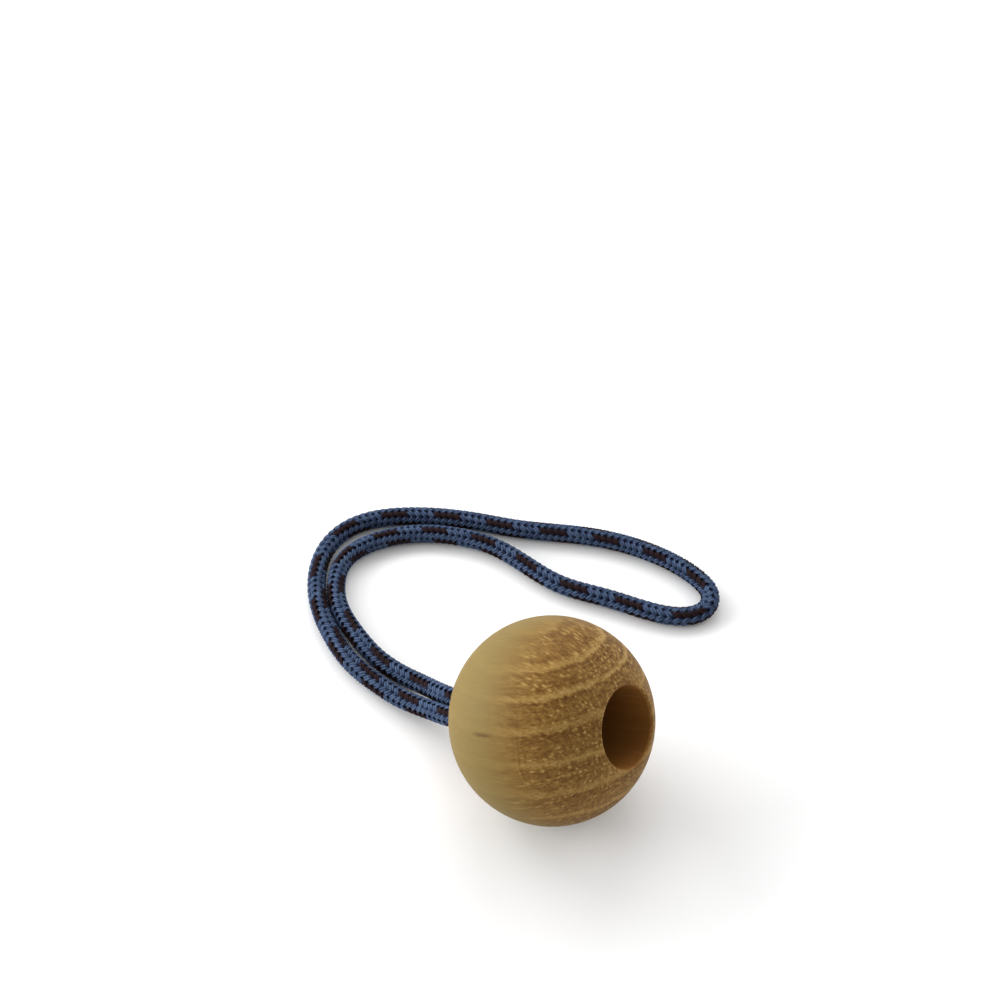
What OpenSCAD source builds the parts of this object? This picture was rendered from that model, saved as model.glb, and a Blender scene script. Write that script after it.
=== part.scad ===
// Turned wooden ball bead on a doubled loop of elastic cord.
// Both ends of the cord pass in through the small hole at the back and are tied
// together in a stopper knot, which is drawn down into a deep pocket in front.
// The bead stands on the surface z = 0 and the loop lies on it.
// The bore leans in the XZ plane: the pocket opens towards +X and upwards.

/* [Bead] */
// Widest diameter of the bead, square to its bore
bead_d = 31.2; // [26:0.1:42]
// Length of the bead's outline along its bore
bead_len = 30; // [25:0.5:42]
// Angle of the bore above level, as the bead lies on its cord
bore_tilt = 27; // [20:1:34]

/* [Pocket] */
// Room between the knot and the pocket's wall
knot_room = 0.8; // [0.6:0.1:2.5]
// Depth of the pocket from its rim to the seat of the knot
pocket_depth = 18; // [14:0.5:21]
// Rounding of the pocket's rim
pocket_round = 0.4; // [0.3:0.1:1.5]

/* [Cord hole] */
// Room round the pair of strands in the hole
hole_clearance = 0.3; // [0.2:0.05:0.7]
// Rounding where the hole comes out at the back
hole_round = 1; // [0.3:0.1:1.5]

/* [Cord] */
// Diameter of the cord
cord_d = 3; // [2.4:0.1:3]
// Gap between the two strands inside the bead
strand_gap = 0.1; // [0.05:0.05:0.4]

/* [Knot] */
// Share of its diameter that a strand keeps where the knot squeezes it
squeeze = 0.9; // [0.8:0.05:0.95]
// Turns that the knot winds round its own strands
turns = 2; // [1:1:2]
// Length of each cut tail above the turns
tail_len = 4.6; // [3:0.1:6]
// Lean of the tails away from the arches
tail_lean = 8; // [0:1:12]

/* [Hidden] */
$fn = 96;
eps = 0.1;

// The outline is an arc of radius bead_len / 2 whose centre stands off the bore,
// so the bead is a little wider across its belly than it is long.
end_r = bead_len / 2;
belly = (bead_d - bead_len) / 2;
bead_z = end_r + belly * cos(bore_tilt);

// How far along the bore a hole of radius r comes out through the arc.
function rim_at(r) = sqrt(pow(end_r, 2) - pow(r - belly, 2));

// The hole takes the pair of strands side by side.
strand_y = (cord_d + strand_gap) / 2;
hole_r = cord_d + strand_gap / 2 + hole_clearance;
back_z = rim_at(hole_r);

// The knot's sizes come from the squeezed strand, which is wound round a core of two.
// Strands that touch in the knot press into each other by nip.
nip = 0.2;
strand_r = squeeze * cord_d / 2;
core_r = 2 * strand_r;
turn_r = core_r + strand_r - nip;
turn_pitch = 2 * strand_r - nip;
turn_top = 2 * strand_r + (turns - 1) * turn_pitch;
pair_y = strand_r + strand_gap / 2;
arch_r = (turn_r + nip) / 2;
arch_z = turn_top - strand_r + nip;

// The pocket takes the knot with room to spare, and the knot sits on the pocket's floor.
pocket_r = turn_r + strand_r + knot_room;
seat_z = rim_at(pocket_r) - pocket_depth;

// A point inside the bore, so far behind the middle of the bead and so far aside.
function in_bore(back, aside) =
    [-back * cos(bore_tilt), aside, bead_z - back * sin(bore_tilt)];

// The free part of the cord, as [x, y, height of its underside]. It leaves the
// hole in front, runs round the loop and comes back to the hole from behind.
free_route = [
    [-17.5, -1, 4.5], [-22, 0.5, 2], [-27.5, 1, 0.3], [-33, 2, 0], [-39.5, 3.5, 0],
    [-46, 7.5, 0], [-51.5, 12, 0], [-56, 19, 0], [-57, 26, 0], [-54.5, 32, 0],
    [-48, 37, 0], [-39, 41, 0], [-30, 43, 0], [-21.5, 47, 0], [-13.5, 49.5, 0],
    [-4.5, 50, 0], [2, 48.5, 0], [5.5, 46.5, 0], [6.5, 42.5, 0], [3.5, 39, 0],
    [-2, 37.5, 0], [-9.5, 37, 0], [-17.5, 35, 0], [-24.5, 36.5, 0], [-32, 38, 0],
    [-39, 36.5, 0], [-45.5, 33.5, 0], [-50.5, 28.5, 0], [-53, 22.5, 0], [-51, 17, 0],
    [-47.5, 12.5, 0], [-42.5, 9.5, 0], [-36.5, 6.5, 0], [-30.5, 5.5, 0],
    [-25.5, 5, 1], [-20.5, 3, 3.5]
];
// Inside the bead the strands run straight, until just short of the hole's mouth.
mouth_margin = 0.5;
hole_end = back_z - mouth_margin;
route = concat(
    [in_bore(-seat_z, -strand_y), in_bore(hole_end, -strand_y)],
    [for (p = free_route) [p.x, p.y, p.z + cord_d / 2]],
    [in_bore(hole_end, strand_y), in_bore(-seat_z, strand_y)]
);
sweep_steps = 2;
sweep_sides = 8;

// One span of a cubic B-spline, and its slope, at t from 0 to 1.
function span(a, b, c, d, t) =
    (pow(1 - t, 3) * a + (3 * pow(t, 3) - 6 * pow(t, 2) + 4) * b
        + (-3 * pow(t, 3) + 3 * pow(t, 2) + 3 * t + 1) * c + pow(t, 3) * d) / 6;
function slope(a, b, c, d, t) =
    (-pow(1 - t, 2) * a + (3 * pow(t, 2) - 4 * t) * b
        + (-3 * pow(t, 2) + 2 * t + 1) * c + pow(t, 2) * d) / 2;
function unit(v) = v / norm(v);

// The control points with one more at each end, so the curve starts and stops on them.
function with_ends(p) =
    concat([2 * p[0] - p[1]], p, [2 * p[len(p) - 1] - p[len(p) - 2]]);

// Stations along the curve, each [place, direction].
function stations(p, steps) = let (q = with_ends(p), n = len(p))
    [for (i = [0 : n - 2], k = [0 : steps - (i < n - 2 ? 1 : 0)]) let (t = k / steps)
        [span(q[i], q[i + 1], q[i + 2], q[i + 3], t),
         unit(slope(q[i], q[i + 1], q[i + 2], q[i + 3], t))]];

// A ring round one station, with flat sides of the polygon facing down and sideways.
function ring(station, r, sides) = let (
        side = unit(cross([0, 0, 1], station[1])), up = cross(station[1], side),
        corner = r / cos(180 / sides))
    [for (j = [0 : sides - 1]) let (a = 360 * (j + 0.5) / sides)
        station[0] + corner * (cos(a) * side + sin(a) * up)];

module sweep(path, r, sides) {
    n = len(path);
    walls = [for (i = [0 : n - 2], j = [0 : sides - 1]) let (
            a = i * sides + j, b = i * sides + (j + 1) % sides)
        each [[a, a + sides, b], [b, a + sides, b + sides]]];
    first = [for (j = [0 : sides - 1]) j];
    last = [for (j = [sides - 1 : -1 : 0]) (n - 1) * sides + j];
    polyhedron(
        points = [for (s = path) each ring(s, r, sides)],
        faces = concat(walls, [first, last])
    );
}

// The bore's own frame: its middle is the bead's, and its Z runs out of the pocket.
module on_bore() {
    translate([0, 0, bead_z])
        rotate([0, 90 - bore_tilt, 0])
            children();
}

// What a rounding of radius f takes off the corner where a hole meets the arc.
module rim_corner(r, f) {
    middle = [r + f, sqrt(pow(end_r - f, 2) - pow(r + f - belly, 2))];
    outwards = unit(middle - [belly, 0]);
    difference() {
        polygon([
            middle, [r - eps, middle.y], [r - eps, middle.y + 3 * f],
            middle + 3 * f * outwards
        ]);
        translate(middle)
            circle(r = f);
    }
}

module bead_outline() {
    difference() {
        translate([belly, 0])
            circle(r = end_r);
        translate([-bead_d, -bead_d])
            square([bead_d + hole_r, 2 * bead_d]);
        translate([0, seat_z])
            square([pocket_r, bead_d]);
        rim_corner(pocket_r, pocket_round);
        mirror([0, 1])
            rim_corner(hole_r, hole_round);
    }
}

module bead() {
    color([0.60, 0.47, 0.27])
        on_bore()
            rotate_extrude()
                bead_outline();
}

module cord_loop() {
    color([0.27, 0.34, 0.45])
        sweep(stations(route, sweep_steps), cord_d / 2, sweep_sides);
}

// A ring of cord round the core.
module turn(z) {
    translate([0, 0, z])
        rotate_extrude()
            translate([turn_r, 0])
                circle(r = strand_r);
}

// A strand that rises from the last turn and dives back into the core.
module arch(aside) {
    translate([-arch_r, aside, arch_z])
        rotate([90, 0, 0])
            rotate_extrude(angle = 180)
                translate([arch_r, 0])
                    circle(r = strand_r - nip / 2);
}

// A cut end, melted into a low dome.
module tail(aside) {
    translate([strand_r, aside, turn_top - strand_r])
        rotate([0, tail_lean, 0]) {
            cylinder(r = strand_r, h = tail_len);
            translate([0, 0, tail_len])
                sphere(r = strand_r);
        }
}

module cord_knot() {
    color([0.23, 0.29, 0.39])
        on_bore()
            translate([0, 0, seat_z]) {
                cylinder(r = core_r, h = turn_top - nip);
                for (i = [0 : turns - 1])
                    turn(strand_r + i * turn_pitch);
                for (side = [-1, 1]) {
                    arch(side * pair_y);
                    tail(side * pair_y);
                }
            }
}

bead();
cord_loop();
cord_knot();
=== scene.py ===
"""Wooden ball bead on a doubled loop of braided elastic cord.

The bead is turned from one piece of ring-porous wood, with a small hole at the back
and a deep pocket in front. The cord's two ends pass in through the hole and are tied
together in a stopper knot that sits in the pocket. Sizes are in metres, in the frame
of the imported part: the bead stands on z = 0 and its bore leans in the XZ plane.
"""

from __future__ import annotations

import logging
import math
from dataclasses import dataclass, replace
from enum import Enum

import bmesh
import bpy
import numpy as np
from mathutils import Matrix, Vector, noise

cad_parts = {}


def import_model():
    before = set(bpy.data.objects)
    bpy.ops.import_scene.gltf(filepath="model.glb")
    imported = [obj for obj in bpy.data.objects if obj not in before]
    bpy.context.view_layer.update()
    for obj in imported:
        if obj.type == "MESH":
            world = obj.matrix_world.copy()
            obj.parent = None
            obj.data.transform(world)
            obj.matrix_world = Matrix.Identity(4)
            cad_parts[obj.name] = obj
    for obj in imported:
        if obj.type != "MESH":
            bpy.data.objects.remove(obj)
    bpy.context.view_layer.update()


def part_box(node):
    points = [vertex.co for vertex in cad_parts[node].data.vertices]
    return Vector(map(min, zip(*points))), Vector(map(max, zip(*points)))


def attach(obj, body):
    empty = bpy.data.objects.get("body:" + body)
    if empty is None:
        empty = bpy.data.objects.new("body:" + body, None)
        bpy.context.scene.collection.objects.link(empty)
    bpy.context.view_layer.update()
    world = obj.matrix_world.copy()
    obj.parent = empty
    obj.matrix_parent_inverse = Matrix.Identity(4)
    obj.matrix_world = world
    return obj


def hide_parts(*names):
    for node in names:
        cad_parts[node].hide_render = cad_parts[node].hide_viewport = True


log = logging.getLogger("wooden_bead")

MM = 0.001
BLACK = (0.0, 0.0, 0.0, 1.0)
WHITE = (1.0, 1.0, 1.0, 1.0)

Piece = bpy.types.Object
Socket = bpy.types.NodeSocket
# What can feed a socket: another socket, or a value of its own
Source = Socket | float | tuple
Point = tuple[float, float, float]
# A point of a turned profile: its radius from the bore and its height
Profile = tuple[float, float]


class Lean(Enum):
    """The way a yarn winds round the cord, as the sign of its turn."""

    RIGHT = 1
    LEFT = -1


def linear(red: int, green: int, blue: int) -> tuple[float, float, float, float]:
    """Turn a screen colour into a linear one.

    Args:
        red: Red, from 0 to 255.
        green: Green, from 0 to 255.
        blue: Blue, from 0 to 255.

    Returns:
        The linear colour with an alpha of 1.
    """
    shares = [value / 255 for value in (red, green, blue)]
    curve = [s / 12.92 if s <= 0.04045 else ((s + 0.055) / 1.055) ** 2.4 for s in shares]
    return (*curve, 1.0)


def arc(middle: Profile, radius: float, start: float, stop: float, steps: int) -> list[Profile]:
    """Lay out an arc of a profile.

    Args:
        middle: The arc's middle.
        radius: The arc's own radius.
        start: The angle at which it starts, in radians.
        stop: The angle at which it stops.
        steps: How many straight steps it is made of.

    Returns:
        The arc's points, with both of its ends.
    """
    angles = [start + (stop - start) * step / steps for step in range(steps + 1)]
    return [(middle[0] + radius * math.cos(a), middle[1] + radius * math.sin(a)) for a in angles]


def mesh_object(name: str, bm: bmesh.types.BMesh) -> Piece:
    """Make a smooth-shaded object of a bmesh, and free the bmesh.

    Args:
        name: The object's name.
        bm: The shape, in its place in the part.

    Returns:
        The object, at the origin and in the scene.
    """
    mesh = bpy.data.meshes.new(name)
    for face in bm.faces:
        face.smooth = True
    bm.to_mesh(mesh)
    bm.free()
    piece = bpy.data.objects.new(name, mesh)
    bpy.context.scene.collection.objects.link(piece)
    return piece


# ------------------------------------------------------------- shading tools


class Graph:
    """A node tree, with short ways to add and join its nodes."""

    # Where a Mix node keeps its share and its two colours, and its mixed colour
    MIX_INPUTS = (0, 6, 7)
    MIX_OUTPUT = 2

    def __init__(self, tree: bpy.types.NodeTree) -> None:
        """Take hold of a node tree."""
        self.nodes = tree.nodes
        self.links = tree.links

    def add(self, kind: str, inputs: dict | None = None, **settings: object) -> bpy.types.Node:
        """Add a node.

        Args:
            kind: The node's type, without its ShaderNode prefix.
            inputs: A value or a source socket for each of its named or numbered inputs.
            **settings: Attributes to set on the node.

        Returns:
            The new node.
        """
        node = self.nodes.new("ShaderNode" + kind)
        for key, value in settings.items():
            setattr(node, key, value)
        for key, value in (inputs or {}).items():
            self.feed(node.inputs[key], value)
        return node

    def feed(self, socket: Socket, source: Source) -> None:
        """Feed an input from a source, by a link or as its own value.

        Args:
            socket: The input.
            source: The socket or the value that feeds it.
        """
        if isinstance(source, Socket):
            self.links.new(source, socket)
        else:
            socket.default_value = source

    def math(self, operation: str, *sources: Source, clamp: bool = False) -> Socket:
        """Return the result of a Math node on these sources."""
        node = self.add("Math", dict(enumerate(sources)), operation=operation, use_clamp=clamp)
        return node.outputs[0]

    def chain(self, operation: str, first: Source, *others: Source) -> Socket:
        """Join any number of sources by one operation.

        Args:
            operation: ADD or MULTIPLY.
            first: The first source.
            *others: The ones that follow it.

        Returns:
            Their sum or their product.
        """
        for other in others:
            first = self.math(operation, first, other)
        return first

    def centred(self, factor: Socket, reach: float = 1.0) -> Socket:
        """Return a factor from 0 to 1 as a wave of that reach, low to high, round 0."""
        return self.math("MULTIPLY_ADD", factor, reach, -reach / 2)

    def step(self, source: Source, none: float, full: float) -> Socket:
        """Return a smooth step from 0 at one value of the source to 1 at another."""
        limits = {"Value": source, "From Min": none, "From Max": full}
        return self.add("MapRange", limits, interpolation_type="SMOOTHSTEP").outputs[0]

    def ramp(self, source: Source, stops: tuple) -> Socket:
        """Colour a source by a ramp.

        Args:
            source: What the ramp reads, from 0 to 1.
            stops: Pairs of a place on the ramp and its colour.

        Returns:
            The colour.
        """
        node = self.add("ValToRGB", {"Fac": source})
        band = node.color_ramp.elements
        while len(band) > 1:
            band.remove(band[-1])
        band[0].position, band[0].color = stops[0]
        for place, colour in stops[1:]:
            band.new(place).color = colour
        return node.outputs["Color"]

    def hump(self, source: Source, places: tuple) -> Socket:
        """Return a hump that rises between its first two places and falls between the last."""
        return self.ramp(source, tuple(zip(places, (BLACK, WHITE, WHITE, BLACK))))

    def mix(self, share: Source, first: Source, second: Source) -> Socket:
        """Return a mix of two colours, with that share of the second."""
        node = self.add("Mix", dict(zip(self.MIX_INPUTS, (share, first, second))), data_type="RGBA")
        return node.outputs[self.MIX_OUTPUT]


class Shading(Graph):
    """The node tree of a material round its Principled shader."""

    SPECKLE_DETAIL = 2.0

    def __init__(self, name: str, roughness: float, specular: float = 0.5) -> None:
        """Start a material that holds only its output and its shader.

        Args:
            name: The material's name.
            roughness: Its roughness all over.
            specular: Its specular level all over.
        """
        self.material = bpy.data.materials.new(name)
        self.material.use_nodes = True
        super().__init__(self.material.node_tree)
        self.shader = self.nodes["Principled BSDF"]
        self.output = self.nodes["Material Output"]
        self.shader.inputs["Roughness"].default_value = roughness
        self.shader.inputs["Specular IOR Level"].default_value = specular
        self.here = self.add("TexCoord").outputs["Object"]

    def speckle(self, cells: float) -> Socket:
        """Return noise with so many cells a metre."""
        inputs = {"Vector": self.here, "Scale": cells, "Detail": self.SPECKLE_DETAIL}
        return self.add("TexNoise", inputs).outputs["Fac"]

    def paint(self, colour: Source) -> None:
        """Give the shader its base colour."""
        self.feed(self.shader.inputs["Base Color"], colour)

    def emboss(self, height: Socket, strength: float, distance: float) -> None:
        """Bend the shader's normal by a height."""
        node = self.add("Bump", {"Height": height, "Strength": strength, "Distance": distance})
        self.feed(self.shader.inputs["Normal"], node.outputs["Normal"])


@dataclass(frozen=True)
class Mottle:
    """Noise in wood, by its cells a millimetre across and along the grain, and its reach."""

    across: float
    along: float
    reach: float = 1.0
    detail: float = 2.0


@dataclass(frozen=True)
class Patch:
    """A soft-edged ellipsoid in the grain's frame, in millimetres, and its strength."""

    middle: Point
    radii: Point
    strength: float = 1.0


class GrainShading(Shading):
    """Shading laid out in the wood's own frame, in millimetres.

    U runs out across the growth layers, V along them and W along the grain.
    """

    # Shares of a patch's radii at which it fades out and is at full strength
    PATCH_EDGE = (1.6, 0.4)
    STRIPE_DETAIL = 3.0

    def __init__(self, name: str, frame: Matrix, roughness: float, specular: float) -> None:
        """Start a material in the grain's frame.

        Args:
            name: The material's name.
            frame: The grain's frame in the part.
            roughness: Its roughness all over.
            specular: Its specular level all over.
        """
        super().__init__(name, roughness, specular)
        inverse = frame.inverted()
        self.place = self.add("Mapping", {
            "Vector": self.here,
            "Location": inverse.to_translation() / MM,
            "Rotation": inverse.to_euler(),
            "Scale": (1 / MM,) * 3,
        }).outputs[0]
        self.u, self.v, self.w = self.add("SeparateXYZ", {"Vector": self.place}).outputs

    def noise(self, mottle: Mottle) -> Socket:
        """Add a mottle's noise.

        Args:
            mottle: The mottle.

        Returns:
            The noise as a factor from 0 to 1, whatever the mottle's reach.
        """
        scale = (mottle.across, mottle.across, mottle.along)
        cells = self.add("Mapping", {"Vector": self.place, "Scale": scale}).outputs[0]
        inputs = {"Vector": cells, "Scale": 1.0, "Detail": mottle.detail}
        return self.add("TexNoise", inputs).outputs["Fac"]

    def mottled(self, mottle: Mottle) -> Socket:
        """Return a mottle as a wave round 0."""
        return self.centred(self.noise(mottle), mottle.reach)

    def stripes(self, source: Socket, cells: float) -> Socket:
        """Return a wave round 0 that changes only with a source, with so many cells a unit."""
        inputs = {"W": source, "Scale": cells, "Detail": self.STRIPE_DETAIL}
        return self.centred(self.add("TexNoise", inputs, noise_dimensions="1D").outputs["Fac"])

    def patch(self, patch: Patch) -> Socket:
        """Find how strong a patch is at a place.

        Args:
            patch: The patch.

        Returns:
            Its strength in its middle, and 0 outside it.
        """
        shares = tuple(1 / radius for radius in patch.radii)
        away = self.add("VectorMath", {0: self.place, 1: patch.middle}, operation="SUBTRACT").outputs[0]
        away = self.add("VectorMath", {0: away, 1: shares}, operation="MULTIPLY").outputs[0]
        distance = self.add("VectorMath", {0: away}, operation="LENGTH").outputs["Value"]
        return self.math("MULTIPLY", self.step(distance, *self.PATCH_EDGE), patch.strength)


# ------------------------------------------------------------------ finishes


@dataclass(frozen=True)
class YarnFinish:
    """Matt spun yarn, with painted shade down in the braid and a painted highlight on the crest of each
    stitch.

    A share of its fibres stray to another colour. Blotches and fibres are counted in
    cells a metre, and their reach says how far they shift the tone.
    """

    name: str
    # Colours from low to high in the braid: painted shade in the gaps, the yarn's own colour, and a
    # painted highlight on the crests
    painted_gap_shade: tuple
    middle: tuple
    painted_crest_highlight: tuple
    stray: tuple
    stray_share: float
    # Where the painted shade, the yarn's own colour and the painted highlight sit on the rise
    shade_and_tone_places: tuple = (0.15, 0.6, 1.0)
    blotches: float = 1.1 / MM
    blotch_reach: float = 0.8
    fibres: float = 4.0 / MM
    fibre_reach: float = 0.7
    fibre_bump: float = 0.4
    fibre_height: float = 0.05 * MM
    roughness: float = 0.75
    specular: float = 0.08

    def material(self) -> bpy.types.Material:
        """Make the yarn's material.

        Returns:
            The material, which reads the braid's rise.
        """
        s = Shading(self.name, self.roughness, self.specular)
        rise = s.add("Attribute", attribute_name=BraidedCord.RISE).outputs["Fac"]
        blotch = s.speckle(self.blotches)
        fibre = s.speckle(self.fibres)
        # The rise paints shade deep in the braid and a highlight on the crests; blotches and fibres
        # shift the tone at random
        tone = s.chain(
            "ADD", rise, s.centred(blotch, self.blotch_reach), s.centred(fibre, self.fibre_reach)
        )
        colour = s.ramp(tone, tuple(zip(self.shade_and_tone_places, (self.painted_gap_shade, self.middle, self.painted_crest_highlight))))
        stray = s.math("GREATER_THAN", fibre, 1.0 - self.stray_share)
        s.paint(s.mix(stray, colour, self.stray))
        s.emboss(fibre, self.fibre_bump, self.fibre_height)
        return s.material


@dataclass(frozen=True)
class MeltedFinish:
    """Cord end that has been melted and has set in dark lumps."""

    colour: tuple = linear(24, 22, 30)
    burr: tuple = linear(48, 54, 78)
    lumps: float = 1.5 / MM
    lump_bump: float = 0.5
    lump_height: float = 0.2 * MM
    roughness: float = 0.5

    def material(self) -> bpy.types.Material:
        """Make the melted end's material.

        Returns:
            The material.
        """
        s = Shading("melted_end", self.roughness)
        lumps = s.speckle(self.lumps)
        s.paint(s.mix(lumps, self.colour, self.burr))
        s.emboss(lumps, self.lump_bump, self.lump_height)
        return s.material


@dataclass(frozen=True)
class WoodFinish:
    """Oiled ring-porous wood whose grain runs along the bore.

    Pale bands without pores part the growth layers, each with a darker edge under it.
    The pores are long tubes, so they show as dots on end grain and as dashes where the
    surface slants across them. The sides are paler and plainer, and the tool has left
    its rings. Lengths are in millimetres. A pair that ends in edge or end says where
    something starts and where it is full.
    """

    # Degrees that the growth layers are turned round the bore
    grain_turn: float = 160.9
    roughness: float = 0.6
    specular: float = 0.1
    relief_bump: float = 0.3
    relief_height: float = 0.08 * MM

    # Growth layers: where their pale bands lie across the wood, and how one cycle goes
    bands: tuple = (-19.9, -14.9, -9.9, -4.9, 0.1, 5.1, 9.05, 12.25, 15.4, 18.6)
    reach: float = 20.0
    layer_lean: float = 0.05
    waver: Mottle = Mottle(0.3, 0.1, reach=1.0)
    fraying: Mottle = Mottle(2.2, 0.2, reach=0.7)
    band_cycle: tuple = (0.36, 0.46, 0.52, 0.68)
    edge_cycle: tuple = (0.05, 0.3, 0.36, 0.41)

    # Pores: their spacing, and how a cell goes from the pore's middle to the fibre
    pore_gap: float = 0.62
    pore_long: float = 9.0
    pore_scatter: float = 0.8
    pore_edge: tuple = (0.4, 0.14)
    pore_size_edge: tuple = (-0.1, 0.8)
    fibre_edge: tuple = (0.4, 0.75)

    # How much each part of the texture shifts the tone
    fine: Mottle = Mottle(3.6, 0.5, reach=1.0, detail=3.0)
    coarse: Mottle = Mottle(0.9, 0.15, reach=0.35)
    lines: float = 1.7
    line_strength: float = 0.4
    pore_strength: float = 0.5
    fibre_strength: float = 0.14
    band_strength: float = 0.26
    band_plainness: float = 0.75
    edge_strength: float = 0.1

    # Rings from the turning tool, plainest beside the pocket and on the belly
    rings: float = 2.6
    ring_drift: Mottle = Mottle(0.5, 0.5, reach=0.8)
    pocket_rings: Patch = Patch((8.5, -1.0, 12.0), (3.5, 5.0, 3.0), strength=0.6)
    belly_rings: Patch = Patch((0.5, 14.0, 6.0), (3.0, 2.5, 2.0), strength=0.35)
    other_rings: float = 0.12

    # End grain at the front and back, and how bold the texture is there and elsewhere
    front_end: tuple = (-3.0, 8.0)
    back_end: tuple = (-9.5, -13.5)
    bold_edge: tuple = (-2.0, 9.0)
    bold_fraying: Mottle = Mottle(0.25, 0.2, reach=6.0)
    side_boldness: float = 0.16
    bold_rim: Patch = Patch((10.5, -3.0, 9.0), (3.0, 5.0, 4.0), strength=0.35)

    # Colours by tone
    middle_tone: float = 0.46
    end_tones: tuple = (
        (0.0, linear(80, 50, 20)), (0.3, linear(110, 77, 34)), (0.5, linear(128, 95, 46)),
        (0.75, linear(149, 117, 64)), (1.0, linear(166, 136, 82)),
    )
    side_tones: tuple = (
        (0.0, linear(96, 76, 41)), (0.5, linear(119, 101, 57)), (1.0, linear(136, 117, 71)),
    )
    wall_tones: tuple = ((0.0, linear(124, 82, 36)), (1.0, linear(138, 92, 42)))
    # How far under the walls of the pocket and the hole the colour of the walls goes
    wall_edge: tuple = (0.3, 0.0)
    floor_margin: float = 0.1

    # A small torn place on the belly
    blemish: tuple = linear(72, 46, 22)
    blemish_patch: Patch = Patch((4.3, 14.8, -0.5), (0.32, 0.32, 1.5))
    blemish_share: float = 0.75
    blemish_tear: float = 2.4

    def across_layers(self, s: GrainShading) -> Socket:
        """Return places across the growth layers, which lean a little and waver."""
        leaning = s.math("MULTIPLY_ADD", s.w, self.layer_lean, s.u)
        return s.chain("ADD", leaning, s.mottled(self.waver), s.mottled(self.fraying))

    def layers(self, s: GrainShading, across: Socket) -> tuple[Socket, Socket]:
        """Shade the growth layers.

        Args:
            s: The shading.
            across: Places across the layers.

        Returns:
            How far a place is in a pale band, and in the dark edge under one.
        """
        span = {"Value": across, "From Min": -self.reach, "From Max": self.reach}
        last = len(self.bands) - 1
        count = s.ramp(s.add("MapRange", span).outputs[0], tuple(
            ((place + self.reach) / (2 * self.reach), (number / last,) * 3 + (1.0,))
            for number, place in enumerate(self.bands)
        ))
        cycle = s.math("FRACT", s.math("MULTIPLY_ADD", count, float(last), 0.5))
        return s.hump(cycle, self.band_cycle), s.hump(cycle, self.edge_cycle)

    def pores(self, s: GrainShading, across: Socket) -> Socket:
        """Shade the pores and the dark fibres between them.

        Args:
            s: The shading.
            across: Places across the layers.

        Returns:
            How far the pores lighten a place, or the fibres darken it.
        """
        rows = s.add("CombineXYZ", {
            "X": s.math("DIVIDE", across, self.pore_gap),
            "Y": s.math("DIVIDE", s.v, self.pore_gap),
            "Z": s.math("DIVIDE", s.w, self.pore_long),
        }).outputs[0]
        inputs = {"Vector": rows, "Scale": 1.0, "Randomness": self.pore_scatter}
        cells = s.add("TexVoronoi", inputs, feature="F1")
        size = s.add("SeparateColor", {"Color": cells.outputs["Color"]}).outputs[0]
        away = cells.outputs["Distance"]
        pore = s.math("MULTIPLY", s.step(away, *self.pore_edge), s.step(size, *self.pore_size_edge))
        fibre = s.math("MULTIPLY", s.step(away, *self.fibre_edge), -self.fibre_strength)
        return s.math("MULTIPLY_ADD", pore, self.pore_strength, fibre)

    def turning(self, s: GrainShading) -> Socket:
        """Shade the rings that the turning tool has left.

        Args:
            s: The shading.

        Returns:
            The rings as a wave round 0.
        """
        drifting = s.math("MULTIPLY_ADD", s.noise(self.ring_drift), self.ring_drift.reach, s.w)
        patches = (s.patch(self.pocket_rings), s.patch(self.belly_rings))
        strength = s.chain("ADD", *patches, self.other_rings)
        return s.math("MULTIPLY", s.stripes(drifting, self.rings), strength)

    def texture(self, s: GrainShading, fine: Socket) -> Socket:
        """Put the whole texture together.

        Args:
            s: The shading.
            fine: The finest part of the texture.

        Returns:
            How far the texture shifts the tone.
        """
        across = self.across_layers(s)
        band, edge = self.layers(s, across)
        plain = s.math("MULTIPLY_ADD", band, -self.band_plainness, 1.0)
        return s.chain(
            "ADD",
            fine,
            s.mottled(self.coarse),
            s.math("MULTIPLY", s.stripes(across, self.lines), self.line_strength),
            s.math("MULTIPLY", self.pores(s, across), plain),
            s.math("MULTIPLY", band, self.band_strength),
            s.math("MULTIPLY", edge, -self.edge_strength),
            self.turning(s),
        )

    def boldness(self, s: GrainShading, back: Socket) -> Socket:
        """Find how bold the texture is.

        Args:
            s: The shading.
            back: How far a place is in the end grain at the back.

        Returns:
            The share of the texture that shows.
        """
        ragged = s.math("ADD", s.w, s.mottled(self.bold_fraying))
        bold = s.math("MAXIMUM", s.step(ragged, *self.bold_edge), back)
        bold = s.math("MULTIPLY_ADD", bold, 1.0 - self.side_boldness, self.side_boldness)
        return s.math("ADD", bold, s.patch(self.bold_rim))

    def inside(self, s: GrainShading, bead: TurnedBead) -> Socket:
        """Find the walls of the pocket and of the cord hole.

        Args:
            s: The shading.
            bead: The bead, for its bore's sizes.

        Returns:
            1 on the walls, and 0 outside them.
        """
        level = s.add("VectorMath", {0: s.place, 1: (1, 1, 0)}, operation="MULTIPLY").outputs[0]
        radius = s.add("VectorMath", {0: level}, operation="LENGTH").outputs["Value"]
        in_pocket = s.math("GREATER_THAN", s.w, bead.seat / MM - self.floor_margin)
        widening = (bead.pocket_radius - bead.hole_radius) / MM
        wall = s.math("MULTIPLY_ADD", in_pocket, widening, bead.hole_radius / MM)
        return s.step(s.math("SUBTRACT", radius, wall), *self.wall_edge)

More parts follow.
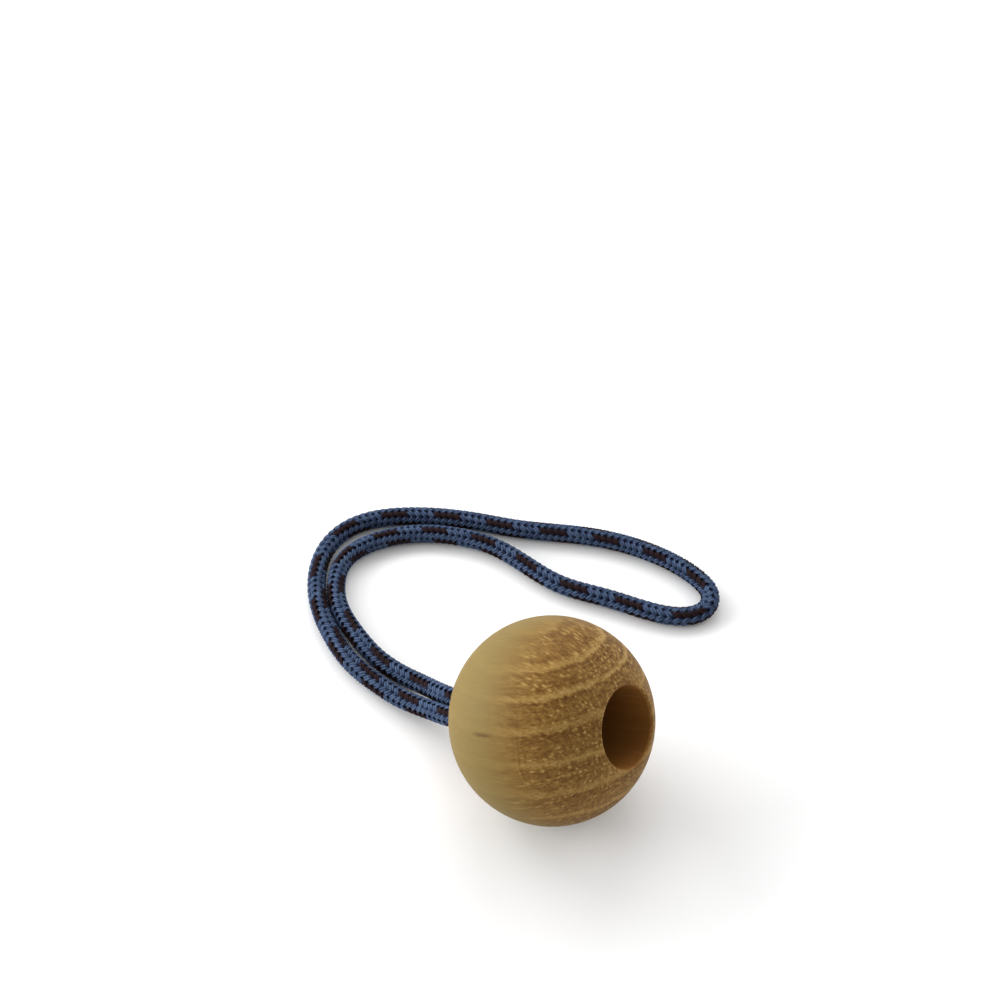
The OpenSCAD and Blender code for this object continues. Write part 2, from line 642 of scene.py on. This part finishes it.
    def material(self, bead: TurnedBead) -> bpy.types.Material:
        """Make the wood's material for a bead.

        Args:
            bead: The bead, whose bore the grain runs along.

        Returns:
            The material.
        """
        frame = bead.bore.matrix @ Matrix.Rotation(math.radians(self.grain_turn), 4, "Z")
        s = GrainShading("oiled_wood", frame, self.roughness, self.specular)
        back = s.step(s.w, *self.back_end)
        ends = s.math("MAXIMUM", s.step(s.w, *self.front_end), back)
        fine = s.mottled(self.fine)
        tone = s.math("MULTIPLY_ADD", self.texture(s, fine), self.boldness(s, back), self.middle_tone)
        colour = s.mix(ends, s.ramp(tone, self.side_tones), s.ramp(tone, self.end_tones))
        torn = s.math("MULTIPLY_ADD", fine, self.blemish_tear, self.blemish_share, clamp=True)
        colour = s.mix(s.math("MULTIPLY", s.patch(self.blemish_patch), torn), colour, self.blemish)
        inside = self.inside(s, bead)
        s.paint(s.mix(inside, colour, s.ramp(tone, self.wall_tones)))
        outside = s.math("SUBTRACT", 1.0, inside)
        s.emboss(s.chain("MULTIPLY", tone, outside, ends), self.relief_bump, self.relief_height)
        return s.material


# In each yarn the deepest colour is painted shade and the crest colour is a painted highlight
BLUE_YARN = YarnFinish(
    name="blue_yarn",
    painted_gap_shade=linear(18, 22, 36),
    middle=linear(33, 45, 72),
    painted_crest_highlight=linear(70, 86, 112),
    stray=linear(96, 112, 138),
    stray_share=0.3,
)
DARK_YARN = YarnFinish(
    name="dark_yarn",
    painted_gap_shade=linear(10, 6, 8),
    middle=linear(28, 16, 19),
    painted_crest_highlight=linear(36, 22, 25),
    stray=linear(96, 60, 20),
    stray_share=0.26,
)


# --------------------------------------------------------------------- route


@dataclass(frozen=True)
class Lay:
    """How a braid is laid on a route, as pairs of a place along it and what happens there.

    Facing is the angle, in degrees round the braid, of the side that looks at the eye.
    The slip is how far on from its even place the braid lies, because a braid is
    nowhere laid quite evenly.
    """

    eye: Vector = Vector((0.0, 0.0, 1.0))
    facing: tuple = ((0.0, 90.0),)
    slip: tuple = ()

    def stretched(self, length: float) -> list[tuple[float, float]]:
        """Return pairs of a place in the braid and its place on a route of that length."""
        return [(0.0, 0.0), *((at - slip, at) for at, slip in self.slip), (length, length)]


class Route:
    """A cubic B-spline through space, with a frame that doesn't twist along it."""

    STEPS_A_SPAN = 40

    def __init__(self, points: list[Point]) -> None:
        """Lay the curve along its control points, starting and stopping on the end ones.

        Args:
            points: The control points.
        """
        p = np.array(points, float)
        p = np.vstack([2 * p[0] - p[1], p, 2 * p[-1] - p[-2]])
        t = np.linspace(0, 1, self.STEPS_A_SPAN, endpoint=False)[:, None]
        weights = [(1 - t) ** 3, 3 * t**3 - 6 * t**2 + 4, -3 * t**3 + 3 * t**2 + 3 * t + 1, t**3]
        spans = [sum(w * p[i + k] for k, w in enumerate(weights)) / 6 for i in range(len(p) - 3)]
        self.line = np.vstack([*spans, (p[-3] + 4 * p[-2] + p[-1]) / 6])
        steps = np.linalg.norm(np.diff(self.line, axis=0), axis=1)
        self.along = np.concatenate([[0], np.cumsum(steps)])
        self.ahead = np.gradient(self.line, self.along, axis=0)
        self.ahead /= np.linalg.norm(self.ahead, axis=1)[:, None]
        self.side = self._carried_side()
        self.up = np.cross(self.ahead, self.side)

    def _carried_side(self) -> np.ndarray:
        """Carry a level side direction along the curve without turning it.

        Returns:
            The side direction at each point of the curve.
        """
        side = np.cross([0, 0, 1], self.ahead[0])
        carried = []
        for direction in self.ahead:
            side = side - direction * side.dot(direction)
            side = side / np.linalg.norm(side)
            carried.append(side)
        return np.array(carried)

    @property
    def length(self) -> float:
        """The curve's whole length."""
        return float(self.along[-1])

    def _at(self, values: np.ndarray, place: np.ndarray) -> np.ndarray:
        """Return values of the curve at places along it."""
        return np.stack([np.interp(place, self.along, values[:, k]) for k in range(3)], axis=1)

    def _angle_to(self, eye: Vector) -> np.ndarray:
        """Return the angle from the side direction to an eye, all along the curve."""
        towards = np.array(eye) - self.line
        return np.unwrap(np.arctan2((towards * self.up).sum(1), (towards * self.side).sum(1)))

    def bend(self, points: np.ndarray, lay: Lay) -> np.ndarray:
        """Bend a straight shape along the curve.

        Args:
            points: Places in the straight shape, whose Z runs along its axis.
            lay: How the shape is turned and stretched on the way.

        Returns:
            The same places on the curve.
        """
        place = np.interp(points[:, 2], *zip(*lay.stretched(self.length)))
        angle = np.interp(place, self.along, self._angle_to(lay.eye))
        angle -= np.radians(np.interp(place, *zip(*lay.facing)))
        across = points[:, 0] * np.cos(angle) - points[:, 1] * np.sin(angle)
        rise = points[:, 0] * np.sin(angle) + points[:, 1] * np.cos(angle)
        middle, side, up = (self._at(v, place) for v in (self.line, self.side, self.up))
        return middle + across[:, None] * side + rise[:, None] * up


# -------------------------------------------------------------------- pieces


@dataclass(frozen=True)
class Bore:
    """The leaning bore's own frame: its middle is the bead's, and its Z runs out of the pocket."""

    height: float
    tilt: float = 27.0

    @property
    def matrix(self) -> Matrix:
        """The frame's place in the part."""
        turn = Matrix.Rotation(math.radians(90 - self.tilt), 4, "Y")
        return Matrix.Translation((0, 0, self.height)) @ turn

    def place(self, x: float, y: float, z: float) -> Point:
        """Return the place in the part of a point in the bore's frame."""
        return tuple(self.matrix @ Vector((x, y, z)))


@dataclass
class TurnedBead:
    """The ball, with its stepped bore."""

    bore: Bore
    width: float
    length: float = 30 * MM
    pocket_radius: float = 6 * MM
    pocket_depth: float = 18 * MM
    pocket_round: float = 0.4 * MM
    hole_radius: float = 3.35 * MM
    hole_round: float = 1.0 * MM
    wood: WoodFinish = WoodFinish()
    steps_round: int = 192
    ball_steps: int = 72
    rim_steps: int = 10
    # Degrees between two faces from which the edge between them is sharp
    sharp_angle: float = 50.0

    @property
    def end_radius(self) -> float:
        """Radius of the outline's arc."""
        return self.length / 2

    @property
    def belly(self) -> float:
        """How far the arc's centre stands off the bore."""
        return (self.width - self.length) / 2

    @property
    def seat(self) -> float:
        """Height of the pocket's floor in the bore's frame."""
        return self.rim_at(self.pocket_radius) - self.pocket_depth

    def rim_at(self, radius: float) -> float:
        """Return how far along the bore a hole of that radius comes out."""
        return math.sqrt(self.end_radius**2 - (radius - self.belly) ** 2)

    def _corner(self, hole: float, fillet: float) -> tuple[float, float, float]:
        """Find the rounding of a hole's rim.

        Args:
            hole: The hole's radius.
            fillet: The rounding's radius.

        Returns:
            The rounding's middle, as radius and height, and the angle at which it
            meets the ball.
        """
        x = hole + fillet
        z = math.sqrt((self.end_radius - fillet) ** 2 - (x - self.belly) ** 2)
        return x, z, math.atan2(z, x - self.belly)

    def outline(self) -> list[Profile]:
        """Draw the turned profile.

        Returns:
            The profile's points, round from the pocket's rim.
        """
        pocket_x, pocket_z, pocket_angle = self._corner(self.pocket_radius, self.pocket_round)
        hole_x, hole_z, hole_angle = self._corner(self.hole_radius, self.hole_round)
        pocket_rim = arc((pocket_x, pocket_z), self.pocket_round, math.pi, pocket_angle, self.rim_steps)
        ball = arc((self.belly, 0), self.end_radius, pocket_angle, -hole_angle, self.ball_steps)
        hole_rim = arc((hole_x, -hole_z), self.hole_round, -hole_angle, -math.pi, self.rim_steps)
        floor = [(self.hole_radius, self.seat), (self.pocket_radius, self.seat)]
        return pocket_rim + ball[1:-1] + hole_rim + floor

    def dress(self, piece: Piece) -> None:
        """Give the bead its oiled wood."""
        piece.data.materials.append(self.wood.material(self))

    def build(self) -> Piece:
        """Spin the profile round the bore and put the bead in its place.

        Returns:
            The bead, in its wood.
        """
        bm = bmesh.new()
        points = [bm.verts.new((r, 0, z)) for r, z in self.outline()]
        for first, second in zip(points, points[1:] + points[:1]):
            bm.edges.new((first, second))
        bmesh.ops.spin(
            bm, geom=bm.verts[:] + bm.edges[:], cent=(0, 0, 0), axis=(0, 0, 1),
            angle=2 * math.pi, steps=self.steps_round, use_merge=True,
        )
        bmesh.ops.recalc_face_normals(bm, faces=bm.faces[:])
        for edge in bm.edges:
            edge.smooth = edge.calc_face_angle(0) < math.radians(self.sharp_angle)
        bmesh.ops.transform(bm, matrix=self.bore.matrix, verts=bm.verts[:])
        piece = mesh_object("turned_bead", bm)
        self.dress(piece)
        return piece


@dataclass
class BraidedCord:
    """A tubular braid of yarns over a round core.

    Half of the yarns wind to the right and half to the left. Which of them lies on top
    depends only on the angle round the cord, so each kind shows in ribs along it. Each
    yarn is two ends laid side by side. The materials are the common yarns' and the
    dark ones'.
    """

    materials: tuple
    diameter: float = 3.2 * MM
    pitch: float = 9.4 * MM
    carriers: int = 8
    dark_carriers: int = 4
    yarn_width: float = 0.88 * MM
    yarn_thick: float = 0.46 * MM
    core_radius: float = 1.0 * MM
    steps_a_turn: int = 40
    core_sides: int = 16
    core_rings: int = 300
    # How suddenly a yarn dives under the others
    crispness: float = 2.0
    # How deep under the crests the rise is 0, in thicknesses of a yarn
    rise_depth: float = 1.2

    RISE = "rise"
    # A yarn's section, as shares of its width and of its thickness
    SECTION = (
        (-0.5, 0.0), (-0.3, 0.46), (-0.16, 0.42), (0.0, 0.14),
        (0.16, 0.42), (0.3, 0.46), (0.5, 0.0), (0.0, -0.46),
    )

    def squeezed(self, share: float, core_rings: int) -> BraidedCord:
        """Return the same cord where it is squeezed to a share of its diameter.

        Args:
            share: The share of its diameter that the cord keeps.
            core_rings: How many rings make the core of the squeezed length.

        Returns:
            The squeezed cord.
        """
        return replace(
            self,
            diameter=share * self.diameter,
            yarn_width=share * self.yarn_width,
            yarn_thick=share * self.yarn_thick,
            core_radius=share * self.core_radius,
            core_rings=core_rings,
        )

    def yarn(self, length: float, lean: Lean) -> bpy.types.Mesh:
        """Wind one yarn of a straight braid, with its rings in order.

        Args:
            length: Length of the braid.
            lean: The way the yarn winds.

        Returns:
            The yarn's mesh, at its middle radius, starting at angle 0.
        """
        turns = length / self.pitch
        steps = round(turns * self.steps_a_turn)
        radius = self.diameter / 2 - self.yarn_thick
        slope = math.atan2(self.pitch, 2 * math.pi * radius)
        bm = bmesh.new()
        ring = [bm.verts.new((t * self.yarn_thick, w * self.yarn_width, 0)) for w, t in self.SECTION]
        bm.faces.new(ring)
        bmesh.ops.rotate(bm, verts=ring, matrix=Matrix.Rotation(math.pi / 2 + slope, 3, "X"))
        bmesh.ops.translate(bm, verts=ring, vec=(radius, 0, 0))
        bmesh.ops.delete(bm, geom=bm.faces[:], context="FACES_ONLY")
        bmesh.ops.spin(
            bm, geom=bm.verts[:] + bm.edges[:], cent=(0, 0, 0), axis=(0, 0, 1),
            angle=2 * math.pi * turns, dvec=(0, 0, length / steps), steps=steps,
        )
        open_edges = [edge for edge in bm.edges if edge.is_boundary]
        bmesh.ops.holes_fill(bm, edges=open_edges)
        if lean is Lean.LEFT:
            bmesh.ops.scale(bm, verts=bm.verts[:], vec=(1, -1, 1))
        bmesh.ops.recalc_face_normals(bm, faces=bm.faces[:])
        mesh = bpy.data.meshes.new("yarn")
        bm.to_mesh(mesh)
        bm.free()
        return mesh

    def lift(self, angle: np.ndarray, lean: Lean) -> np.ndarray:
        """Return how far a yarn lies outside its middle radius at angles round the cord."""
        wave = np.tanh(self.crispness * np.cos(self.carriers / 2 * angle)) / math.tanh(self.crispness)
        return lean.value * wave * self.yarn_thick / 2

    def family(self, length: float, lean: Lean) -> bmesh.types.BMesh:
        """Wind all the yarns of one lean along Z, with the second material on the dark ones.

        Args:
            length: Length of the cord.
            lean: The way the yarns wind.

        Returns:
            The yarns, from z = 0.
        """
        bm = bmesh.new()
        template = self.yarn(length, lean)
        rings = np.arange(len(template.vertices)) // len(self.SECTION)
        turned = lean.value * rings * 2 * math.pi / self.steps_a_turn
        co = self.places(template)
        for carrier in range(self.carriers):
            start = 2 * math.pi * carrier / self.carriers
            centre = turned + start
            lift = self.lift(centre, lean)
            x = co[:, 0] * math.cos(start) - co[:, 1] * math.sin(start) + lift * np.cos(centre)
            y = co[:, 0] * math.sin(start) + co[:, 1] * math.cos(start) + lift * np.sin(centre)
            mesh = template.copy()
            mesh.vertices.foreach_set("co", np.stack([x, y, co[:, 2]], axis=1).ravel())
            first = len(bm.faces)
            bm.from_mesh(mesh)
            bm.faces.ensure_lookup_table()
            if lean is Lean.RIGHT and carrier < self.dark_carriers:
                for face in bm.faces[first:]:
                    face.material_index = 1
            bpy.data.meshes.remove(mesh)
        bpy.data.meshes.remove(template)
        return bm

    def core(self, length: float, bm: bmesh.types.BMesh) -> None:
        """Add the round core to a straight family of yarns.

        Args:
            length: Length of the cord.
            bm: The yarns, which the core joins.
        """
        ring = bmesh.ops.create_circle(bm, segments=self.core_sides, radius=self.core_radius)["verts"]
        edges = {edge for vert in ring for edge in vert.link_edges}
        spun = bmesh.ops.spin(
            bm, geom=[*ring, *edges], cent=(0, 0, 0), axis=(0, 0, 1), angle=0,
            dvec=(0, 0, length / self.core_rings), steps=self.core_rings,
        )
        last = [item for item in spun["geom_last"] if isinstance(item, bmesh.types.BMEdge)]
        bmesh.ops.holes_fill(bm, edges=[*edges, *last])
        bmesh.ops.recalc_face_normals(bm, faces=bm.faces[:])

    @staticmethod
    def places(mesh: bpy.types.Mesh) -> np.ndarray:
        """Read where a mesh's vertices are.

        Args:
            mesh: The mesh.

        Returns:
            A row of x, y and z for each vertex.
        """
        flat = np.zeros(len(mesh.vertices) * 3)
        mesh.vertices.foreach_get("co", flat)
        return flat.reshape(-1, 3)

    def dress(self, piece: Piece) -> None:
        """Give a piece of the braid its yarns' materials."""
        for material in self.materials:
            piece.data.materials.append(material)

    def laid(self, name: str, route: Route, lean: Lean, lay: Lay, cored: bool = False) -> Piece:
        """Lay one family of yarns along a route.

        Args:
            name: The piece's name.
            route: Where the cord's middle runs.
            lean: The family's lean.
            lay: How it is turned and stretched on the way.
            cored: Whether the piece holds the core too.

        Returns:
            The piece, with how high each place lies in the braid as its rise.
        """
        bm = self.family(route.length, lean)
        if cored:
            self.core(route.length, bm)
        piece = mesh_object(name, bm)
        straight = self.places(piece.data)
        radius = np.hypot(straight[:, 0], straight[:, 1])
        depth = self.rise_depth * self.yarn_thick
        rise = piece.data.attributes.new(self.RISE, "FLOAT", "POINT")
        rise.data.foreach_set("value", (radius - self.diameter / 2) / depth + 1)
        piece.data.vertices.foreach_set("co", route.bend(straight, lay).ravel())
        piece.data.update()
        self.dress(piece)
        return piece


@dataclass
class CordLoop:
    """The doubled loop of cord, from the knot's seat out, round and back."""

    bead: TurnedBead
    cord: BraidedCord
    strand_spacing: float = 3.1 * MM
    mouth_margin: float = 0.5 * MM

    # The free part of the cord, as x, y and the height of its underside in millimetres
    FREE_ROUTE = (
        (-17.5, -1, 4.5), (-22, 0.5, 2), (-27.5, 1, 0.3), (-33, 2, 0), (-39.5, 3.5, 0),
        (-46, 7.5, 0), (-51.5, 12, 0), (-56, 19, 0), (-57, 26, 0), (-54.5, 32, 0), (-48, 37, 0),
        (-39, 41, 0), (-30, 43, 0), (-21.5, 47, 0), (-13.5, 49.5, 0), (-4.5, 50, 0), (2, 48.5, 0),
        (5.5, 46.5, 0), (6.5, 42.5, 0), (3.5, 39, 0), (-2, 37.5, 0), (-9.5, 37, 0),
        (-17.5, 35, 0), (-24.5, 36.5, 0), (-32, 38, 0), (-39, 36.5, 0), (-45.5, 33.5, 0),
        (-50.5, 28.5, 0), (-53, 22.5, 0), (-51, 17, 0), (-47.5, 12.5, 0), (-42.5, 9.5, 0),
        (-36.5, 6.5, 0), (-30.5, 5.5, 0), (-25.5, 5, 1), (-20.5, 3, 3.5),
    )
    # Places along the cord with the braid's facing and slip there
    FACING = (
        (0.0, 260), (0.025, 245), (0.040, 225), (0.060, 205), (0.120, 180), (0.180, 160),
        (0.214, 135), (0.245, 100), (0.270, 90),
    )
    SLIP = (
        (0.020, 0.0008), (0.060, 0.0008), (0.072, 0.0019), (0.120, 0.0018), (0.135, 0.0011),
        (0.150, 0.0026), (0.172, 0.0034), (0.190, 0.0029), (0.212, 0.0009), (0.226, 0.0),
    )

    def route(self) -> Route:
        """Find where the middle of the cord runs.

        Returns:
            The route, which starts and stops on the pocket's floor.
        """
        aside = self.strand_spacing / 2
        hole_end = self.mouth_margin - self.bead.rim_at(self.bead.hole_radius)
        heights = (self.bead.seat, hole_end)
        start = [self.bead.bore.place(0, -aside, z) for z in heights]
        stop = [self.bead.bore.place(0, aside, z) for z in reversed(heights)]
        radius = self.cord.diameter / 2
        free = [(x * MM, y * MM, z * MM + radius) for x, y, z in self.FREE_ROUTE]
        return Route(start + free + stop)

    def build(self, eye: Vector) -> tuple[Piece, Piece]:
        """Braid the loop along its route.

        Args:
            eye: What the facings are measured from.

        Returns:
            The yarns that wind to the right, with the core, and those that wind to the left.
        """
        route = self.route()
        lay = Lay(eye=eye, facing=self.FACING, slip=self.SLIP)
        right = self.cord.laid("loop_right_yarns", route, Lean.RIGHT, lay, cored=True)
        left = self.cord.laid("loop_left_yarns", route, Lean.LEFT, lay)
        return right, left


@dataclass(frozen=True)
class CordEnd:
    """One end of the cord in the knot.

    It comes up on one side of the bore, as the sign of its Y, and its turn has a height
    and goes round so many degrees.
    """

    name: str
    side: int
    height: float
    turned: float


@dataclass
class StopperKnot:
    """The knot that the cord's two ends are tied in, on the pocket's floor.

    Each end comes up through the middle, arches over, takes a turn round the middle,
    crosses it and ends in a tail with a melted tip. Heights are measured from the
    pocket's floor.
    """

    bead: TurnedBead
    cord: BraidedCord
    squeeze: float = 0.84
    core_rings: int = 75
    strand_aside: float = 1.35 * MM
    # Gap under a strand's foot, as a share of its diameter
    foot_gap: float = 0.05
    arch_top: float = 6.3 * MM
    turn_start: float = 140.0
    turn_radius: float = 3.8 * MM
    turn_step: float = 30.0
    tail_foot: float = 1.5 * MM
    tail_bend: float = 4.0 * MM
    tail_lean: float = 8.0
    # A melted tip's radius as a share of the strand's diameter, and how flat it is
    tip_radius: float = 0.52
    tip_flatness: float = 0.6
    tip_rings: int = 24
    melt_lump: float = 0.7 * MM
    melt_height: float = 0.35 * MM
    melt: MeltedFinish = MeltedFinish()

    ENDS = (
        CordEnd("upper", side=1, height=3.85 * MM, turned=240.0),
        CordEnd("lower", side=-1, height=1.4 * MM, turned=330.0),
    )
    # Heights on the way up through the middle
    CLIMB = (2.0 * MM, 4.2 * MM)
    # The arch, as how far out it is and how far above its own height
    ARCH = ((0.4 * MM, -0.3 * MM), (2.0 * MM, 0.3 * MM), (3.7 * MM, -0.5 * MM))
    # The drop to the turn: how far out, how many times as far aside, how far above the turn
    DROP = (4.1 * MM, 1.3, 1.2 * MM)
    # The crossing, as how many times as far aside and how high
    CROSSING = ((-0.6, 2.4 * MM), (0.6, 1.8 * MM))
    # Heights of the tail
    TAIL = (2.4 * MM, 4.4 * MM, 6.4 * MM, 8.4 * MM)

    @property
    def strand(self) -> BraidedCord:
        """The cord, squeezed as it is in the knot."""
        return self.cord.squeezed(self.squeeze, self.core_rings)

    def turn(self, start: float, stop: float, height: float) -> list[Point]:
        """Lay out a turn round the middle.

        Args:
            start: The angle at which it starts, in degrees.
            stop: The angle at which it stops.
            height: Its height.

        Returns:
            Its control points, which stand off by what the curve cuts inside them.
        """
        count = round(abs(stop - start) / self.turn_step)
        angles = [math.radians(start + (stop - start) * i / count) for i in range(count + 1)]
        radius = self.turn_radius * 3 / (2 + math.cos(math.radians(self.turn_step)))
        return [(radius * math.cos(a), radius * math.sin(a), height) for a in angles]

    def route(self, end: CordEnd) -> Route:
        """Lay out one end of the cord.

        Args:
            end: The end.

        Returns:
            The route from the pocket's floor to the tail's tip.
        """
        y = end.side * self.strand_aside
        foot = self.foot_gap * self.strand.diameter
        points = [(0, y, z) for z in (foot, *self.CLIMB)]
        points += [(-out, y, self.arch_top + up) for out, up in self.ARCH]
        drop_out, drop_aside, drop_up = self.DROP
        points.append((-drop_out, drop_aside * y, end.height + drop_up))
        start = end.side * self.turn_start
        points += self.turn(start, start - end.side * end.turned, end.height)
        points += [(-end.side * self.tail_foot, share * y, z) for share, z in self.CROSSING]
        lean = math.tan(math.radians(self.tail_lean))
        points += [(self.tail_foot + max(0.0, z - self.tail_bend) * lean, y, z) for z in self.TAIL]
        return Route([self.bead.bore.place(x, y, self.bead.seat + z) for x, y, z in points])

    def melted_tip(self, bm: bmesh.types.BMesh, route: Route) -> None:
        """Add a low lumpy dome on a tail's tip.

        Args:
            bm: What the dome is added to.
            route: The tail's route.
        """
        ahead = Vector(route.ahead[-1])
        turn = ahead.to_track_quat("Z", "Y").to_matrix().to_4x4()
        flat = Matrix.Diagonal((1.0, 1.0, self.tip_flatness, 1.0))
        dome = bmesh.ops.create_uvsphere(
            bm, u_segments=2 * self.tip_rings, v_segments=self.tip_rings,
            radius=self.tip_radius * self.strand.diameter,
            matrix=Matrix.Translation(route.line[-1]) @ turn @ flat,
        )
        for vert in dome["verts"]:
            vert.co += ahead * noise.noise(vert.co / self.melt_lump) * self.melt_height

    def dress(self, tips: Piece) -> None:
        """Give the melted tips their finish."""
        tips.data.materials.append(self.melt.material())

    def build(self) -> list[Piece]:
        """Tie the knot.

        Returns:
            Its braided pieces, and last the two melted tips as one piece.
        """
        pieces = []
        bm = bmesh.new()
        for end in self.ENDS:
            route = self.route(end)
            # The braid turns once round itself on the way
            lay = Lay(facing=((0.0, 90.0), (route.length, 450.0)))
            for lean in Lean:
                name = f"knot_{end.name}_{lean.name.lower()}_yarns"
                pieces.append(self.strand.laid(name, route, lean, lay, cored=lean is Lean.RIGHT))
            self.melted_tip(bm, route)
        tips = mesh_object("melted_tips", bm)
        self.dress(tips)
        return [*pieces, tips]


# -------------------------------------------------------------------- studio


@dataclass(frozen=True)
class Lamp:
    """A square lamp that faces the part.

    It stands so many degrees to the right of straight away from the camera and so many
    above the floor, and its power is in watts.
    """

    name: str
    bearing: float
    height: float
    power: float


@dataclass(frozen=True)
class Studio:
    """Camera, lamps, world and floor."""

    eye: Vector = Vector((79.78, -153.63, 238.22)) * MM
    look_down: float = 45.5
    heading: float = 30.0
    lens: float = 67.84
    sensor: float = 36.0
    clip: tuple = (0.01, 10.0)
    middle: Vector = Vector((0.0, 0.01, 0.012))
    world_light: float = 0.55
    lamp_size: float = 0.5
    lamp_distance: float = 0.8
    floor_size: float = 3.0
    floor_colour: tuple = (0.85, 0.85, 0.85, 1.0)
    floor_roughness: float = 0.9
    # Distances at which the floor starts to fade to white and is white
    floor_fade: tuple = (0.2, 0.45)

    LAMPS = (
        Lamp("left", -90, 14, 7.4),
        Lamp("left_back", -50, 30, 4.0),
        Lamp("back", 0, 40, 2.6),
        Lamp("right_back", 50, 30, 1.6),
        Lamp("right", 90, 30, 0.8),
    )

    def camera(self) -> None:
        """Add the camera and make it the scene's."""
        data = bpy.data.cameras.new("camera")
        data.lens = self.lens
        data.sensor_width = self.sensor
        data.clip_start, data.clip_end = self.clip
        camera = bpy.data.objects.new("camera", data)
        camera.location = self.eye
        camera.rotation_euler = (math.radians(90 - self.look_down), 0, math.radians(self.heading))
        bpy.context.scene.collection.objects.link(camera)
        bpy.context.scene.camera = camera

    def hang(self, lamp: Lamp) -> None:
        """Add a lamp to the scene.

        Args:
            lamp: The lamp.
        """
        data = bpy.data.lights.new(lamp.name, "AREA")
        data.size = self.lamp_size
        data.energy = lamp.power
        turn = math.radians(self.heading - lamp.bearing)
        level, rise = math.cos(math.radians(lamp.height)), math.sin(math.radians(lamp.height))
        outward = Vector((-math.sin(turn) * level, math.cos(turn) * level, rise))
        light = bpy.data.objects.new(lamp.name, data)
        light.location = self.middle + outward * self.lamp_distance
        light.rotation_euler = (-outward).to_track_quat("-Z", "Y").to_euler()
        bpy.context.scene.collection.objects.link(light)

    def world(self) -> None:
        """Give the world a plain pale light, which the camera sees as white."""
        world = bpy.data.worlds.new("studio")
        world.use_nodes = True
        graph = Graph(world.node_tree)
        background = graph.nodes["Background"]
        seen = graph.add("LightPath").outputs["Is Camera Ray"]
        strength = graph.math("MULTIPLY_ADD", seen, 1.0 - self.world_light, self.world_light)
        graph.feed(background.inputs["Color"], WHITE)
        graph.feed(background.inputs["Strength"], strength)
        bpy.context.scene.world = world

    def floor(self) -> None:
        """Lay a wide pale floor under the part, which fades to white far from it."""
        bm = bmesh.new()
        bmesh.ops.create_grid(bm, x_segments=1, y_segments=1, size=self.floor_size)
        floor = mesh_object("floor", bm)
        s = Shading("floor_paper", self.floor_roughness)
        s.paint(self.floor_colour)
        distance = s.add("VectorMath", {0: s.here}, operation="LENGTH").outputs["Value"]
        start, white = self.floor_fade
        far = s.add("MapRange", {"Value": distance, "From Min": start, "From Max": white}).outputs[0]
        seen = s.math("MULTIPLY", far, s.add("LightPath").outputs["Is Camera Ray"])
        glow = s.add("Emission", {"Color": WHITE, "Strength": 1.0}).outputs[0]
        blend = s.add("MixShader", {0: seen, 1: s.shader.outputs[0], 2: glow})
        s.feed(s.output.inputs["Surface"], blend.outputs[0])
        floor.data.materials.append(s.material)

    def build(self) -> None:
        """Set the whole studio up."""
        self.camera()
        for lamp in self.LAMPS:
            self.hang(lamp)
        self.world()
        self.floor()
        bpy.context.scene.view_settings.view_transform = "Standard"


# ---------------------------------------------------------------------- part


def stand_in(pieces: list[Piece], node: str) -> None:
    """Let pieces take a CAD node's place, and log them.

    Args:
        pieces: The pieces, on the part's one body.
        node: The node that they replace.
    """
    for piece in pieces:
        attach(piece, "root")
        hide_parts(node)
        log.info("%s: %d faces", piece.name, len(piece.data.polygons))


def main() -> None:
    """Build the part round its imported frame, and light it."""
    logging.basicConfig(level=logging.INFO, format="%(message)s")
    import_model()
    studio = Studio()
    low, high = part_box("bead")
    bead = TurnedBead(bore=Bore(height=high.z / 2), width=high.y - low.y)
    stand_in([bead.build()], "bead")

    braid = BraidedCord(materials=(BLUE_YARN.material(), DARK_YARN.material()))
    loop = CordLoop(bead=bead, cord=braid)
    cord, other = loop.build(studio.eye)
    stand_in([cord, other], "cord_loop")
    knot = StopperKnot(bead=bead, cord=braid).build()
    stand_in(knot, "cord_knot")
    route = loop.route()
    studio.build()


if __name__ == "__main__":
    main()
